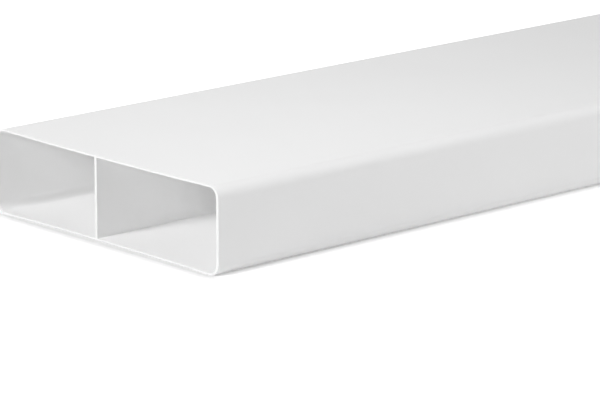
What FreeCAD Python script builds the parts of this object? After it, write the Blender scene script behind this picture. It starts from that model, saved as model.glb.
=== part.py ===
import FreeCAD, Part
import os
from FreeCAD import Vector

# Flat channel duct: one extruded length of white uPVC, wide and low, with rounded long corners.
# One upright web, off the middle, parts it into two passages. Both ends are sawn square.
# Frame: width along X, length along Y, height along Z. The origin is the middle of the footprint.

# Driving sizes, millimetres
length = 1000.0         # stock length
clear_width = 217.5     # between the inner faces of the two side walls
clear_height = 55.0     # between the inner faces of the two wide walls, beside the corners
side_wall = 2.2         # left and right wall
wide_wall = 1.4         # floor and roof of the duct
web_wall = 2.2          # web between the passages
web_shift = -8.0        # middle of the web, from the middle of the width
corner_radius = 8.0     # outside of the long corners
bore_radius = 6.2       # inside of the long corners
wall_bow = 0.8          # how far each wide wall bows inwards at the middle of the width
root_radius = 0.5       # fillet where the web meets a wide wall

# Derived sizes
width = clear_width + 2.0 * side_wall
height = clear_height + 2.0 * wide_wall
middle_z = height / 2.0
near_end = -length / 2.0


def corner_points(side, level, half_width, half_height, radius):
    """Three points of a corner arc, from the wide wall to the side wall.

    side is -1 on the left and 1 on the right; level is -1 at the foot and 1 at the top.
    The wide wall beside the corner is an arc too, and the corner runs tangent into it.
    """
    reach = half_width - radius
    bow_radius = (reach ** 2 + wall_bow ** 2) / (2.0 * wall_bow) - radius
    centre = Vector(side * reach, near_end, middle_z + level * (half_height - radius))
    bow_centre = Vector(0.0, near_end, middle_z + level * (half_height - wall_bow + bow_radius))
    to_wide_wall = (bow_centre - centre).normalize()
    to_side_wall = Vector(side, 0.0, 0.0)
    to_middle = (to_wide_wall + to_side_wall).normalize()
    return [centre + toward * radius for toward in (to_wide_wall, to_middle, to_side_wall)]


def section_face(half_width, half_height, radius):
    """The face inside a rounded outline whose floor and roof bow inwards, at the near end."""
    foot_left = corner_points(-1, -1, half_width, half_height, radius)
    foot_right = corner_points(1, -1, half_width, half_height, radius)
    top_left = corner_points(-1, 1, half_width, half_height, radius)
    top_right = corner_points(1, 1, half_width, half_height, radius)
    foot_middle = Vector(0.0, near_end, middle_z - half_height + wall_bow)
    top_middle = Vector(0.0, near_end, middle_z + half_height - wall_bow)
    curves = [
        Part.Arc(foot_left[0], foot_middle, foot_right[0]),
        Part.Arc(*foot_right),
        Part.LineSegment(foot_right[2], top_right[2]),
        Part.Arc(*reversed(top_right)),
        Part.Arc(top_right[0], top_middle, top_left[0]),
        Part.Arc(*top_left),
        Part.LineSegment(top_left[2], foot_left[2]),
        Part.Arc(*reversed(foot_left)),
    ]
    return Part.Face(Part.Wire([curve.toShape() for curve in curves]))


def web_root_edges(solid):
    """The four long edges where the web's faces meet the wide walls."""
    roots = []
    for edge in solid.Edges:
        box = edge.BoundBox
        on_web = abs(abs(box.Center.x - web_shift) - web_wall / 2.0) < 1e-4
        if on_web and box.XLength < 1e-4 and box.YLength > length / 2.0:
            roots.append(edge)
    return roots


run = Vector(0.0, length, 0.0)
skin = section_face(width / 2.0, height / 2.0, corner_radius).extrude(run)
bore = section_face(clear_width / 2.0, clear_height / 2.0, bore_radius).extrude(run)
web_corner = Vector(web_shift - web_wall / 2.0, near_end, 0.0)
web = Part.makeBox(web_wall, length, height, web_corner)
passages = bore.cut(web)
passages = passages.makeFillet(root_radius, web_root_edges(passages))
duct = skin.cut(passages)

os.makedirs("parts", exist_ok=True)
duct.exportStep("parts/duct_channel.step")

print("outside", round(width, 3), "x", round(height, 3), "x", length)
print("solids", len(duct.Solids), "valid", duct.isValid())
print("section area", round(duct.Volume / length, 2), "mm2")
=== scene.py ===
"""Flat channel duct: a sawn length of white extruded uPVC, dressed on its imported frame."""

import logging
import math
from dataclasses import dataclass
from enum import IntEnum
from typing import Any, Callable

import bmesh
import bpy
from mathutils import Matrix, Vector


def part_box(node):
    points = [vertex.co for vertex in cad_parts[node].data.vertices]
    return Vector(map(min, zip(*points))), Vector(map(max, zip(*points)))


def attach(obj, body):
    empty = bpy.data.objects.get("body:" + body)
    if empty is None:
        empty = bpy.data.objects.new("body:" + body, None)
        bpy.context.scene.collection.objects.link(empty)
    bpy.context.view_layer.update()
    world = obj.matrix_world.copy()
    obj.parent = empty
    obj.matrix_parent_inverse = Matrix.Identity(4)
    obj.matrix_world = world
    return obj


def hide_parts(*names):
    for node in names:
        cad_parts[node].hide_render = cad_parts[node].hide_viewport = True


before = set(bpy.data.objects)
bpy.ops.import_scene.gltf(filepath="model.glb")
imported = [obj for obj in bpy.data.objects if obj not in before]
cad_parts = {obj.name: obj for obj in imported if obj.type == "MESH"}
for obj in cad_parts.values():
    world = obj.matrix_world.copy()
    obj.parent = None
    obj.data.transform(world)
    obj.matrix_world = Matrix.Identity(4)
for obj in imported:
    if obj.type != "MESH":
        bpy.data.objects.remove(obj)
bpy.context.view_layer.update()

LOG = logging.getLogger("flat_channel_duct")

MM = 0.001
TOUCH = 0.01 * MM
SMOOTH_ANGLE = math.radians(30.0)
END_FACING = 0.5  # share of Y in its normal from which a face counts as part of an end
PHOTO_WIDTH_PX = 600
PHOTO_HEIGHT_PX = 412
SENSOR_WIDTH_MM = 36.0


def linear_colour(hex_code: str) -> tuple[float, float, float, float]:
    """Turn an sRGB hex colour into linear light.

    Args:
        hex_code: Six hex digits, such as "F2F2F0".

    Returns:
        Linear red, green and blue, with an alpha of 1.
    """
    channels = [int(hex_code[i:i + 2], 16) / 255.0 for i in (0, 2, 4)]
    linear = [c / 12.92 if c <= 0.04045 else ((c + 0.055) / 1.055) ** 2.4 for c in channels]
    return (linear[0], linear[1], linear[2], 1.0)


def add_node(tree: bpy.types.NodeTree, kind: str, settings: dict[str, Any] | None = None,
             inputs: dict[Any, Any] | None = None) -> bpy.types.Node:
    """Add a shader node, set it and link it.

    Args:
        tree: The node tree to add to.
        kind: The node's type, such as "ShaderNodeTexNoise".
        settings: Properties of the node itself.
        inputs: Socket name or number to a value, or to an output socket to link from.

    Returns:
        The new node.
    """
    node = tree.nodes.new(kind)
    for name, value in (settings or {}).items():
        setattr(node, name, value)
    for name, value in (inputs or {}).items():
        if isinstance(value, bpy.types.NodeSocket):
            tree.links.new(value, node.inputs[name])
        else:
            node.inputs[name].default_value = value
    return node


def cycles_per_metre(size_mm: float) -> float:
    """Texture scale that repeats once in a real size given in millimetres."""
    return 1.0 / (size_mm * MM)


def new_material(name: str) -> tuple[bpy.types.Material, bpy.types.NodeTree, bpy.types.Node]:
    """Start an empty node material.

    Args:
        name: The material's name.

    Returns:
        The material, its node tree and its output node.
    """
    material = bpy.data.materials.new(name)
    material.use_nodes = True
    tree = material.node_tree
    tree.nodes.clear()
    return material, tree, tree.nodes.new("ShaderNodeOutputMaterial")


class Surface(IntEnum):
    """The duct's surfaces, in the order of its material slots."""

    SKIN = 0
    BORE = 1
    SAWN_END = 2


@dataclass(frozen=True)
class ExtrudedUpvc:
    """uPVC as it leaves the die: a soft white skin with faint lines along the draw."""

    name: str
    colour: str = "F3F3F3"
    cloudy_colour: str = "F0F0F0"
    roughness: float = 0.82
    roughness_swing: float = 0.06
    ior: float = 1.53
    glow_share: float = 0.15
    glow_depth_mm: float = 1.2
    cloud_mm: float = 90.0
    die_line_mm: float = 1.6
    draw_stretch: float = 0.004
    die_line_depth_mm: float = 0.006
    die_line_strength: float = 0.35

    def material(self) -> bpy.types.Material:
        """Make the node material.

        Returns:
            The finished material.
        """
        material, tree, output = new_material(self.name)
        place = add_node(tree, "ShaderNodeTexCoord")
        # Titanium white is not quite even: wide, soft clouds a shade apart.
        clouds = add_node(tree, "ShaderNodeTexNoise", {"noise_dimensions": "3D"}, {
            "Vector": place.outputs["Object"], "Scale": cycles_per_metre(self.cloud_mm), "Detail": 2.0})
        tint = add_node(tree, "ShaderNodeMix", {"data_type": "RGBA"}, {
            "Factor": clouds.outputs["Fac"], "A": linear_colour(self.cloudy_colour),
            "B": linear_colour(self.colour)})
        # The die leaves hair lines that run the whole length, so the noise is stretched along Y. They break
        # up the sheen. Real ones are hair-thin; they are drawn this coarse to show at all.
        stretched = add_node(tree, "ShaderNodeMapping", {"vector_type": "POINT"}, {
            "Vector": place.outputs["Object"], "Scale": (1.0, self.draw_stretch, 1.0)})
        lines = add_node(tree, "ShaderNodeTexNoise", {"noise_dimensions": "3D"}, {
            "Vector": stretched.outputs["Vector"], "Detail": 3.0,
            "Scale": cycles_per_metre(self.die_line_mm)})
        bump = add_node(tree, "ShaderNodeBump", {}, {
            "Height": lines.outputs["Fac"], "Strength": self.die_line_strength,
            "Distance": self.die_line_depth_mm * MM})
        sheen = add_node(tree, "ShaderNodeMapRange", {}, {
            "Value": lines.outputs["Fac"], "To Min": self.roughness - self.roughness_swing,
            "To Max": self.roughness + self.roughness_swing})
        shader = add_node(tree, "ShaderNodeBsdfPrincipled", {}, {
            "Base Color": tint.outputs["Result"], "Roughness": sheen.outputs["Result"],
            "IOR": self.ior, "Normal": bump.outputs["Normal"], "Subsurface Weight": self.glow_share,
            "Subsurface Radius": (1.0, 1.0, 1.0), "Subsurface Scale": self.glow_depth_mm * MM})
        tree.links.new(shader.outputs["BSDF"], output.inputs["Surface"])
        return material


@dataclass(frozen=True)
class SawnUpvc:
    """uPVC where the saw went through: duller than the skin, with fine upright kerf marks."""

    name: str
    ridge_colour: str = "F1F1F1"
    groove_colour: str = "E9E9E9"
    roughness: float = 0.88
    ior: float = 1.53
    glow_share: float = 0.15
    glow_depth_mm: float = 1.2
    kerf_mm: float = 0.7
    kerf_stretch: float = 0.08
    kerf_depth_mm: float = 0.03
    kerf_strength: float = 0.5

    def material(self) -> bpy.types.Material:
        """Make the node material.

        Returns:
            The finished material.
        """
        material, tree, output = new_material(self.name)
        place = add_node(tree, "ShaderNodeTexCoord")
        # The blade goes down through the duct, so its marks are long in Z and close in X. A real blade's
        # marks are a third as wide; they are drawn this coarse to show on the thin rim.
        stretched = add_node(tree, "ShaderNodeMapping", {"vector_type": "POINT"}, {
            "Vector": place.outputs["Object"], "Scale": (1.0, 1.0, self.kerf_stretch)})
        kerf = add_node(tree, "ShaderNodeTexNoise", {"noise_dimensions": "3D"}, {
            "Vector": stretched.outputs["Vector"], "Scale": cycles_per_metre(self.kerf_mm), "Detail": 4.0})
        # The grooves are a shade darker than the ridges.
        tint = add_node(tree, "ShaderNodeMix", {"data_type": "RGBA"}, {
            "Factor": kerf.outputs["Fac"], "A": linear_colour(self.groove_colour),
            "B": linear_colour(self.ridge_colour)})
        bump = add_node(tree, "ShaderNodeBump", {}, {
            "Height": kerf.outputs["Fac"], "Strength": self.kerf_strength,
            "Distance": self.kerf_depth_mm * MM})
        shader = add_node(tree, "ShaderNodeBsdfPrincipled", {}, {
            "Base Color": tint.outputs["Result"], "Roughness": self.roughness,
            "IOR": self.ior, "Normal": bump.outputs["Normal"], "Subsurface Weight": self.glow_share,
            "Subsurface Radius": (1.0, 1.0, 1.0), "Subsurface Scale": self.glow_depth_mm * MM})
        tree.links.new(shader.outputs["BSDF"], output.inputs["Surface"])
        return material


@dataclass(frozen=True)
class FloorPaper:
    """Matt white floor that burns out to white for the eye, with a shadow painted around the duct by holding
    its glow down near the footprint.

    Sizes in pairs are for the duct's sides and for its ends.
    """

    name: str = "studio_floor_paper_painted_shadow"
    colour: str = "F4F4F4"
    # Painted shadow around the duct: how much it is lifted along the sides, where it starts and how far it
    # fades.
    side_painted_shadow_lift: float = 0.19
    side_start_mm: float = 8.0
    open_glow: float = 0.45
    painted_shadow_edge_mm: tuple[float, float] = (1.0, 2.0)
    painted_shadow_fade_mm: tuple[float, float] = (26.0, 10.0)
    far_glow: float = 0.5
    far_reach_mm: float = 1500.0

    def material(self, half_footprint: tuple[float, float]) -> bpy.types.Material:
        """Make the node material.

        Args:
            half_footprint: Half the width and half the length of what touches the floor.

        Returns:
            The finished material.
        """
        material, tree, output = new_material(self.name)
        paper = add_node(tree, "ShaderNodeBsdfDiffuse", {}, {"Color": linear_colour(self.colour)})
        # Painted shadow: the glow grows with the distance from the footprint, so the floor is painted darker
        # close to the duct.
        edge = [half + past * MM for half, past in zip(half_footprint, self.painted_shadow_edge_mm)]
        fade = [reach * MM for reach in self.painted_shadow_fade_mm]
        place = add_node(tree, "ShaderNodeTexCoord")
        mirrored = add_node(tree, "ShaderNodeVectorMath", {"operation": "ABSOLUTE"}, {
            0: place.outputs["Object"]})
        beyond = add_node(tree, "ShaderNodeVectorMath", {"operation": "SUBTRACT"}, {
            0: mirrored.outputs["Vector"], 1: (*edge, 0.0)})
        outside = add_node(tree, "ShaderNodeVectorMath", {"operation": "MAXIMUM"}, {
            0: beyond.outputs["Vector"], 1: (0.0, 0.0, 0.0)})
        faded = add_node(tree, "ShaderNodeVectorMath", {"operation": "DIVIDE"}, {
            0: outside.outputs["Vector"], 1: (*fade, 1.0)})
        near = add_node(tree, "ShaderNodeVectorMath", {"operation": "LENGTH"}, {0: faded.outputs["Vector"]})
        far = add_node(tree, "ShaderNodeVectorMath", {"operation": "LENGTH"}, {0: outside.outputs["Vector"]})
        beside = add_node(tree, "ShaderNodeMapRange", {}, {
            "Value": near.outputs["Value"], "To Max": self.open_glow})
        away = add_node(tree, "ShaderNodeMapRange", {}, {
            "Value": far.outputs["Value"], "From Max": self.far_reach_mm * MM, "To Max": self.far_glow})
        # The painted shadow is lighter along the sides than before the ends.
        parts = add_node(tree, "ShaderNodeSeparateXYZ", {}, {"Vector": beyond.outputs["Vector"]})
        along = add_node(tree, "ShaderNodeMapRange", {}, {
            "Value": parts.outputs["Y"], "From Min": -self.side_start_mm * MM, "From Max": 0.0,
            "To Min": self.side_painted_shadow_lift, "To Max": 0.0})
        open_floor = add_node(tree, "ShaderNodeMath", {"operation": "ADD"}, {
            0: beside.outputs["Result"], 1: away.outputs["Result"]})
        level = add_node(tree, "ShaderNodeMath", {"operation": "ADD"}, {
            0: open_floor.outputs["Value"], 1: along.outputs["Result"]})
        strength = add_node(tree, "ShaderNodeMath", {"operation": "MULTIPLY"}, {
            0: seen_directly(tree), 1: level.outputs["Value"]})
        glow = add_node(tree, "ShaderNodeEmission", {}, {"Strength": strength.outputs["Value"]})
        both = add_node(tree, "ShaderNodeAddShader", {}, {
            0: paper.outputs["BSDF"], 1: glow.outputs["Emission"]})
        tree.links.new(both.outputs["Shader"], output.inputs["Surface"])
        return material


def seen_directly(tree: bpy.types.NodeTree) -> bpy.types.NodeSocket:
    """Make a factor that is 1 for the eye, also in a reflection or through glass.

    Args:
        tree: The node tree to add to.

    Returns:
        The socket that carries the factor.
    """
    path = add_node(tree, "ShaderNodeLightPath")
    mirrored = add_node(tree, "ShaderNodeMath", {"operation": "MAXIMUM"}, {
        0: path.outputs["Is Camera Ray"], 1: path.outputs["Is Glossy Ray"]})
    through = add_node(tree, "ShaderNodeMath", {"operation": "MAXIMUM"}, {
        0: mirrored.outputs["Value"], 1: path.outputs["Is Transmission Ray"]})
    return through.outputs["Value"]


@dataclass(frozen=True)
class BowedOutline:
    """A rounded outline with a floor and a roof that bow inwards, measured from its own middle."""

    half_width: float
    half_height: float
    radius: float
    bow: float

    @property
    def reach(self) -> float:
        """Distance of a corner's centre from the middle of the width."""
        return self.half_width - self.radius

    @property
    def bow_radius(self) -> float:
        """Radius of the bowed floor, which runs tangent into both corners."""
        return (self.reach ** 2 + self.bow ** 2) / (2.0 * self.bow) - self.radius

    @property
    def bow_centre_z(self) -> float:
        """Height of the centre that the floor bows about."""
        return self.bow - self.half_height - self.bow_radius

    @property
    def tilt(self) -> float:
        """Angle at the bow's centre, from the middle of the width to a corner."""
        return math.asin(self.reach / (self.bow_radius + self.radius))


@dataclass
class Pen:
    """A vertex that draws one half of a section, from the middle of the width to a side wall."""

    mesh: bmesh.types.BMesh
    side: int
    tip: bmesh.types.BMVert

    def go(self, across: float, up: float) -> None:
        """Draw a straight stretch.

        Args:
            across: Step towards the side wall.
            up: Step upwards.
        """
        drawn = bmesh.ops.extrude_vert_indiv(self.mesh, verts=[self.tip])
        self.tip = drawn["verts"][0]
        bmesh.ops.translate(self.mesh, verts=[self.tip], vec=(self.side * across, 0.0, up))

    def turn(self, centre: tuple[float, float], angle: float, steps: int) -> None:
        """Draw an arc.

        Args:
            centre: How far across and up the arc's centre lies.
            angle: Angle of the arc, positive where it turns upwards.
            steps: Number of edges that the arc is drawn with.
        """
        drawn = bmesh.ops.spin(self.mesh, geom=[self.tip], cent=(self.side * centre[0], 0.0, centre[1]),
                               axis=(0.0, -self.side, 0.0), angle=angle, steps=steps, use_duplicate=False)
        self.tip = next(item for item in drawn["geom_last"] if isinstance(item, bmesh.types.BMVert))


@dataclass
class DuctChannel:
    """The duct: a wide, low tube with rounded long corners and an upright web inside."""

    node: str = "duct_channel"
    material_slot: str = "upvc_white"
    side_wall: float = 2.2 * MM
    wide_wall: float = 1.4 * MM
    web_wall: float = 2.2 * MM
    web_shift: float = -8.0 * MM
    corner_radius: float = 8.0 * MM
    bore_radius: float = 6.2 * MM
    wall_bow: float = 0.8 * MM
    root_radius: float = 0.5 * MM
    saw_break: float = 0.12 * MM
    corner_steps: int = 18
    bow_steps: int = 24
    root_steps: int = 4
    break_steps: int = 2

    def __post_init__(self) -> None:
        """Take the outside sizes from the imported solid."""
        self.low, self.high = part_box(self.node)
        half_width = self.high.x
        half_height = (self.high.z - self.low.z) / 2.0
        self.outside = BowedOutline(half_width, half_height, self.corner_radius, self.wall_bow)
        self.bore = BowedOutline(half_width - self.side_wall, half_height - self.wide_wall,
                                 self.bore_radius, self.wall_bow)

    def draw_wall(self, pen: Pen, outline: BowedOutline, start_tilt: float) -> None:
        """Draw the bowed floor, the corner and the lower half of the side wall.

        Args:
            pen: The pen, with its tip on the bowed floor.
            outline: The outline to follow.
            start_tilt: Angle at the bow's centre at which the tip is.
        """
        corner_z = outline.radius - outline.half_height
        pen.turn((0.0, outline.bow_centre_z), start_tilt - outline.tilt, self.bow_steps)
        pen.turn((outline.reach, corner_z), math.pi / 2.0 + outline.tilt, self.corner_steps)
        pen.go(0.0, -corner_z)

    def draw_skin(self, mesh: bmesh.types.BMesh, side: int) -> None:
        """Draw the outside, from the middle of the width to one side, below mid-height.

        Args:
            mesh: The mesh to draw in.
            side: 1 for the right side and -1 for the left.
        """
        foot = mesh.verts.new((0.0, 0.0, self.wall_bow - self.outside.half_height))
        self.draw_wall(Pen(mesh, side, foot), self.outside, 0.0)

    def draw_passage(self, mesh: bmesh.types.BMesh, side: int) -> None:
        """Draw a passage, from the web to one side, below mid-height.

        Args:
            mesh: The mesh to draw in.
            side: 1 for the right passage and -1 for the left.
        """
        web_face = side * self.web_shift + self.web_wall / 2.0
        root_across = web_face + self.root_radius
        root_up = math.sqrt((self.bore.bow_radius + self.root_radius) ** 2 - root_across ** 2)
        root_tilt = math.atan2(root_across, root_up)
        root_z = self.bore.bow_centre_z + root_up
        pen = Pen(mesh, side, mesh.verts.new((side * web_face, 0.0, 0.0)))
        pen.go(0.0, root_z)
        pen.turn((root_across, root_z), math.pi / 2.0 - root_tilt, self.root_steps)
        self.draw_wall(pen, self.bore, root_tilt)

    def closed_outlines(self, mesh: bmesh.types.BMesh,
                        draw: Callable[[bmesh.types.BMesh, int], None]) -> list[bmesh.types.BMEdge]:
        """Draw both sides below mid-height, and mirror them to the top.

        Args:
            mesh: The mesh to draw in.
            draw: Method that draws one side.

        Returns:
            The edges of the closed outlines.
        """
        known = set(mesh.edges)
        for side in (-1, 1):
            draw(mesh, side)
        half = [edge for edge in mesh.edges if edge not in known]
        ends = list(dict.fromkeys(vert for edge in half for vert in edge.verts))
        bmesh.ops.mirror(mesh, geom=half + ends, matrix=Matrix(), merge_dist=TOUCH, axis="Z")
        bmesh.ops.remove_doubles(mesh, verts=mesh.verts[:], dist=TOUCH)
        return [edge for edge in mesh.edges if edge not in known]

    def draw_out(self, mesh: bmesh.types.BMesh) -> None:
        """Fill the section, draw it out along the length and tell its surfaces apart.

        Args:
            mesh: The empty mesh to work in.
        """
        skin_edges = self.closed_outlines(mesh, self.draw_skin)
        bore_edges = self.closed_outlines(mesh, self.draw_passage)
        near_end = (0.0, self.low.y, (self.low.z + self.high.z) / 2.0)
        bmesh.ops.translate(mesh, verts=mesh.verts[:], vec=near_end)
        bmesh.ops.triangle_fill(mesh, use_beauty=True, edges=skin_edges + bore_edges, normal=(0.0, -1.0, 0.0))
        drawn = bmesh.ops.extrude_face_region(mesh, geom=mesh.faces[:])
        far_end = [item for item in drawn["geom"] if isinstance(item, bmesh.types.BMVert)]
        bmesh.ops.translate(mesh, verts=far_end, vec=(0.0, self.high.y - self.low.y, 0.0))
        bmesh.ops.recalc_face_normals(mesh, faces=mesh.faces[:])
        for face in mesh.faces:
            face.material_index = Surface.SAWN_END
        for edges, surface in ((skin_edges, Surface.SKIN), (bore_edges, Surface.BORE)):
            for face in (face for edge in edges for face in edge.link_faces):
                if abs(face.normal.y) < END_FACING:
                    face.material_index = surface

    def ease_rims(self, mesh: bmesh.types.BMesh) -> None:
        """Break the sharp edges that the saw left around both ends.

        Args:
            mesh: The mesh of the drawn duct.
        """
        rims = [edge for edge in mesh.edges
                if len({face.material_index == Surface.SAWN_END for face in edge.link_faces}) == 2]
        bmesh.ops.bevel(mesh, geom=rims, offset=self.saw_break, offset_type="OFFSET", affect="EDGES",
                        segments=self.break_steps, profile=0.5, material=-1)

    def build(self) -> bpy.types.Object:
        """Make the duct's mesh in place.

        Returns:
            The duct's object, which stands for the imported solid.
        """
        mesh = bmesh.new()
        self.draw_out(mesh)
        self.ease_rims(mesh)
        for face in mesh.faces:
            face.smooth = True
        for edge in mesh.edges:
            edge.smooth = edge.calc_face_angle() < SMOOTH_ANGLE
        data = bpy.data.meshes.new("duct")
        mesh.to_mesh(data)
        mesh.free()
        duct = bpy.data.objects.new("duct", data)
        bpy.context.scene.collection.objects.link(duct)
        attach(duct, "root")
        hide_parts(self.node)
        return duct

    def dress(self, duct: bpy.types.Object) -> None:
        """Give each surface its finish.

        Args:
            duct: The duct's object.
        """
        finishes = {
            Surface.SKIN: ExtrudedUpvc("extruded_upvc_skin"),
            Surface.BORE: ExtrudedUpvc("extruded_upvc_bore", roughness=0.84),
            Surface.SAWN_END: SawnUpvc("sawn_upvc_end"),
        }
        for surface in Surface:
            duct.data.materials.append(finishes[surface].material())


@dataclass(frozen=True)
class Softbox:
    """A studio lamp with a rectangular white front."""

    name: str
    place: tuple[float, float, float]
    aim: tuple[float, float, float]
    width: float
    height: float
    watts: float

    def build(self) -> bpy.types.Object:
        """Hang the lamp and aim it.

        Returns:
            The lamp's object.
        """
        lamp = bpy.data.lights.new(self.name, "AREA")
        lamp.shape = "RECTANGLE"
        lamp.size = self.width
        lamp.size_y = self.height
        lamp.energy = self.watts
        softbox = bpy.data.objects.new(self.name, lamp)
        softbox.location = self.place
        toward = Vector(self.aim) - Vector(self.place)
        softbox.rotation_euler = toward.to_track_quat("-Z", "Y").to_euler()
        softbox.visible_camera = False
        bpy.context.scene.collection.objects.link(softbox)
        return softbox


@dataclass(frozen=True)
class Studio:
    """A white room: pale floor, weak light from the sky, and softboxes above and on all four sides."""

    floor_side: float = 40.0
    sky_strength: float = 0.12
    softboxes: tuple[Softbox, ...] = (
        Softbox("front_softbox", (-0.18, -2.73, 1.15), (0.0, -0.5, 0.03), 0.7, 0.4, 44.1),
        Softbox("top_softbox", (0.15, -0.5, 0.6), (0.15, -0.5, 0.0), 0.4, 0.8, 1.3),
        Softbox("right_softbox", (1.2, 0.0, 0.25), (0.11, 0.0, 0.03), 1.0, 0.3, 4.27),
        Softbox("back_softbox", (0.36, 1.84, 0.83), (0.0, 0.5, 0.03), 1.0, 0.7, 21.5),
        Softbox("left_softbox", (-1.2, 0.1, 0.5), (-0.11, 0.1, 0.03), 1.2, 0.4, 6.2),
    )
    light_bounces: int = 24

    def build_floor(self, half_footprint: tuple[float, float]) -> bpy.types.Object:
        """Lay the floor under the duct.

        Args:
            half_footprint: Half the width and half the length of what touches the floor.

        Returns:
            The floor's object.
        """
        mesh = bmesh.new()
        bmesh.ops.create_grid(mesh, x_segments=1, y_segments=1, size=self.floor_side / 2.0)
        data = bpy.data.meshes.new("floor")
        mesh.to_mesh(data)
        mesh.free()
        data.materials.append(FloorPaper().material(half_footprint))
        floor = bpy.data.objects.new("floor", data)
        bpy.context.scene.collection.objects.link(floor)
        return floor

    def build_sky(self) -> None:
        """Light the room evenly, and show plain white wherever the floor ends."""
        world = bpy.data.worlds.new("white_room")
        world.use_nodes = True
        tree = world.node_tree
        tree.nodes.clear()
        path = add_node(tree, "ShaderNodeLightPath")
        light = add_node(tree, "ShaderNodeBackground", {}, {"Strength": self.sky_strength})
        white = add_node(tree, "ShaderNodeBackground", {}, {"Strength": 1.0})
        for background in (light, white):
            background.inputs["Color"].default_value = linear_colour("FFFFFF")
        mix = add_node(tree, "ShaderNodeMixShader", {}, {
            0: path.outputs["Is Camera Ray"], 1: light.outputs["Background"], 2: white.outputs["Background"]})
        output = add_node(tree, "ShaderNodeOutputWorld")
        tree.links.new(mix.outputs["Shader"], output.inputs["Surface"])
        bpy.context.scene.world = world

    def build(self, half_footprint: tuple[float, float]) -> None:
        """Set up the floor, the sky and the lamps.

        Args:
            half_footprint: Half the width and half the length of what touches the floor.
        """
        self.build_floor(half_footprint)
        self.build_sky()
        for softbox in self.softboxes:
            softbox.build()
        # White walls hand the light on many times before it fades inside the passages.
        light_paths = bpy.context.scene.cycles
        light_paths.max_bounces = self.light_bounces
        light_paths.diffuse_bounces = self.light_bounces


@dataclass(frozen=True)
class PhotoCamera:
    """Camera at the photograph's viewing angle, placed by one corner of the near end."""

    azimuth_deg: float = 47.365
    elevation_deg: float = 14.294
    roll_deg: float = 0.103
    focal_px: float = 3662.2
    corner_px: tuple[float, float] = (218.65, 277.92)
    corner_depth: float = 2270.3 * MM

    def build(self, corner: Vector) -> bpy.types.Object:
        """Make the camera and give it to the scene.

        Args:
            corner: The right foot corner of the near end, where the outer faces would meet unrounded.

        Returns:
            The camera's object.
        """
        azimuth = math.radians(self.azimuth_deg)
        elevation = math.radians(self.elevation_deg)
        back = Vector((math.sin(azimuth) * math.cos(elevation),
                       -math.cos(azimuth) * math.cos(elevation), math.sin(elevation)))
        level_right = Vector((math.cos(azimuth), math.sin(azimuth), 0.0))
        roll = Matrix.Rotation(math.radians(self.roll_deg), 3, back)
        right = roll @ level_right
        up = back.cross(right)
        across = (self.corner_px[0] - PHOTO_WIDTH_PX / 2.0) / self.focal_px * self.corner_depth
        down = (self.corner_px[1] - PHOTO_HEIGHT_PX / 2.0) / self.focal_px * self.corner_depth
        place = corner - across * right + down * up + self.corner_depth * back
        data = bpy.data.cameras.new("photo_camera")
        data.sensor_width = SENSOR_WIDTH_MM
        data.lens = self.focal_px * SENSOR_WIDTH_MM / PHOTO_WIDTH_PX
        camera = bpy.data.objects.new("photo_camera", data)
        axes = Matrix((right, up, back)).transposed()
        camera.matrix_world = Matrix.Translation(place) @ axes.to_4x4()
        bpy.context.scene.collection.objects.link(camera)
        bpy.context.scene.camera = camera
        return camera


def main() -> None:
    """Build the duct, dress it, and set up the studio and the camera."""
    logging.basicConfig(level=logging.INFO, format="%(name)s: %(message)s")
    bpy.context.scene.view_settings.view_transform = "Standard"
    channel = DuctChannel()
    duct = channel.build()
    channel.dress(duct)
    LOG.info("duct: %d faces, %d finishes", len(duct.data.polygons), len(duct.data.materials))
    Studio().build((channel.outside.reach, channel.high.y))
    LOG.info("studio: floor, sky and softboxes")
    PhotoCamera().build(Vector((channel.high.x, channel.low.y, channel.low.z)))
    LOG.info("camera: at the photograph's angle")


if __name__ == "__main__":
    main()
